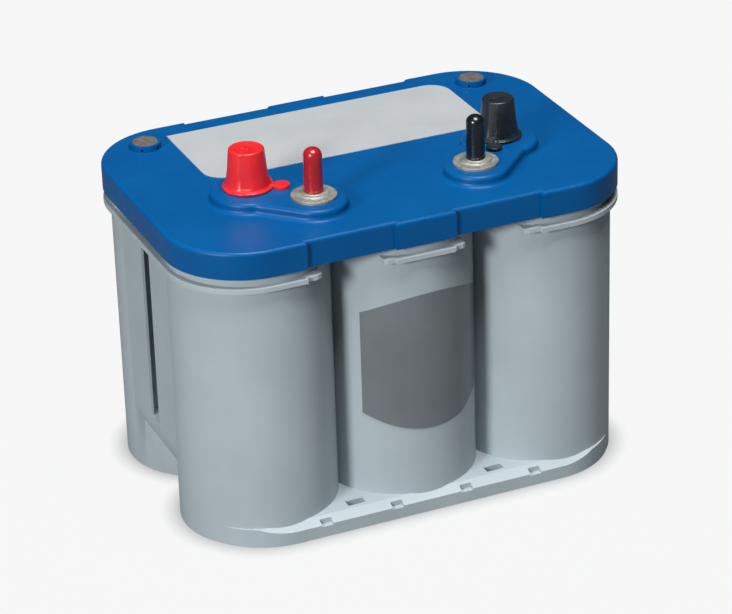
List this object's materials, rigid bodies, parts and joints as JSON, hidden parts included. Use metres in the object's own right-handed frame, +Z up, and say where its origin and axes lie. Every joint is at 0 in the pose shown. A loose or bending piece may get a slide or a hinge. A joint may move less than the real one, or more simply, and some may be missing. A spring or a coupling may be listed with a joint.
{
  "type": "deep cycle battery",
  "caption": "Twelve volt deep cycle battery: round-walled case for wound cells, stepped lid, tapered posts, threaded studs and pull-off terminal caps.",
  "frame": {"origin": "centre of the footprint, on the ground", "axes": "+X along the length with the positive terminals at -X, +Y to the back, +Z up"},
  "size_m": [0.254, 0.1752, 0.2056],
  "materials": {
    "case_grey": "moulded polypropylene, satin",
    "lid_blue": "moulded polypropylene, satin",
    "vent_frit": "sintered porous polyethylene",
    "valve_rubber": "moulded rubber",
    "label_film_pale": "vinyl film, satin",
    "label_film_grey": "vinyl film, satin",
    "cap_red": "moulded soft polyethylene",
    "cap_black": "moulded soft polyethylene",
    "vinyl_red": "dip moulded vinyl, glossy",
    "vinyl_black": "dip moulded vinyl, glossy",
    "stainless": "rolled thread",
    "lead": "cast lead alloy, dull",
    "lead_dioxide": "pasted plate, brown",
    "sponge_lead": "pasted plate, grey",
    "glass_mat": "glass fibre mat"
  },
  "bodies": {
    "battery": {"case": "case_grey", "lid": "lid_blue", "positive_post": "lead", "negative_post": "lead", "positive_stud_base": "lead", "negative_stud_base": "lead", "positive_stud": "stainless", "negative_stud": "stainless", "left_vent_disc": "vent_frit", "right_vent_disc": "vent_frit", "left_relief_valve": "valve_rubber", "right_relief_valve": "valve_rubber", "top_label": "label_film_pale", "front_label": "label_film_grey", "cell_1_positive_plate": "lead_dioxide", "cell_2_positive_plate": "lead_dioxide", "cell_3_positive_plate": "lead_dioxide", "cell_4_positive_plate": "lead_dioxide", "cell_5_positive_plate": "lead_dioxide", "cell_6_positive_plate": "lead_dioxide", "cell_1_negative_plate": "sponge_lead", "cell_2_negative_plate": "sponge_lead", "cell_3_negative_plate": "sponge_lead", "cell_4_negative_plate": "sponge_lead", "cell_5_negative_plate": "sponge_lead", "cell_6_negative_plate": "sponge_lead", "cell_1_glass_mats": "glass_mat", "cell_2_glass_mats": "glass_mat", "cell_3_glass_mats": "glass_mat", "cell_4_glass_mats": "glass_mat", "cell_5_glass_mats": "glass_mat", "cell_6_glass_mats": "glass_mat", "cell_1_positive_strap": "lead", "cell_2_positive_strap": "lead", "cell_3_positive_strap": "lead", "cell_4_positive_strap": "lead", "cell_5_positive_strap": "lead", "cell_6_positive_strap": "lead", "cell_1_negative_strap": "lead", "cell_2_negative_strap": "lead", "cell_3_negative_strap": "lead", "cell_4_negative_strap": "lead", "cell_5_negative_strap": "lead", "cell_6_negative_strap": "lead", "intercell_weld_1": "lead", "intercell_weld_2": "lead", "intercell_weld_3": "lead", "intercell_weld_4": "lead", "intercell_weld_5": "lead", "positive_riser": "lead", "negative_bus_bar": "lead", "positive_bridge": "lead", "negative_bridge": "lead", "positive_post_bushing": "lead", "negative_post_bushing": "lead"},
    "positive_post_cap_body": {"positive_post_cap": "cap_red"},
    "negative_post_cap_body": {"negative_post_cap": "cap_black"},
    "positive_stud_cap_body": {"positive_stud_cap": "vinyl_red"},
    "negative_stud_cap_body": {"negative_stud_cap": "vinyl_black"}
  },
  "joints": [
    {"name": "positive_post_cap_lift", "type": "slide", "parent": "battery", "child": "positive_post_cap_body", "axis": [0, 0, 1], "range_m": [0, 0.03]},
    {"name": "negative_post_cap_lift", "type": "slide", "parent": "battery", "child": "negative_post_cap_body", "axis": [0, 0, 1], "range_m": [0, 0.03]},
    {"name": "positive_stud_cap_lift", "type": "slide", "parent": "battery", "child": "positive_stud_cap_body", "axis": [0, 0, 1], "range_m": [0, 0.035]},
    {"name": "negative_stud_cap_lift", "type": "slide", "parent": "battery", "child": "negative_stud_cap_body", "axis": [0, 0, 1], "range_m": [0, 0.035]}
  ]
}
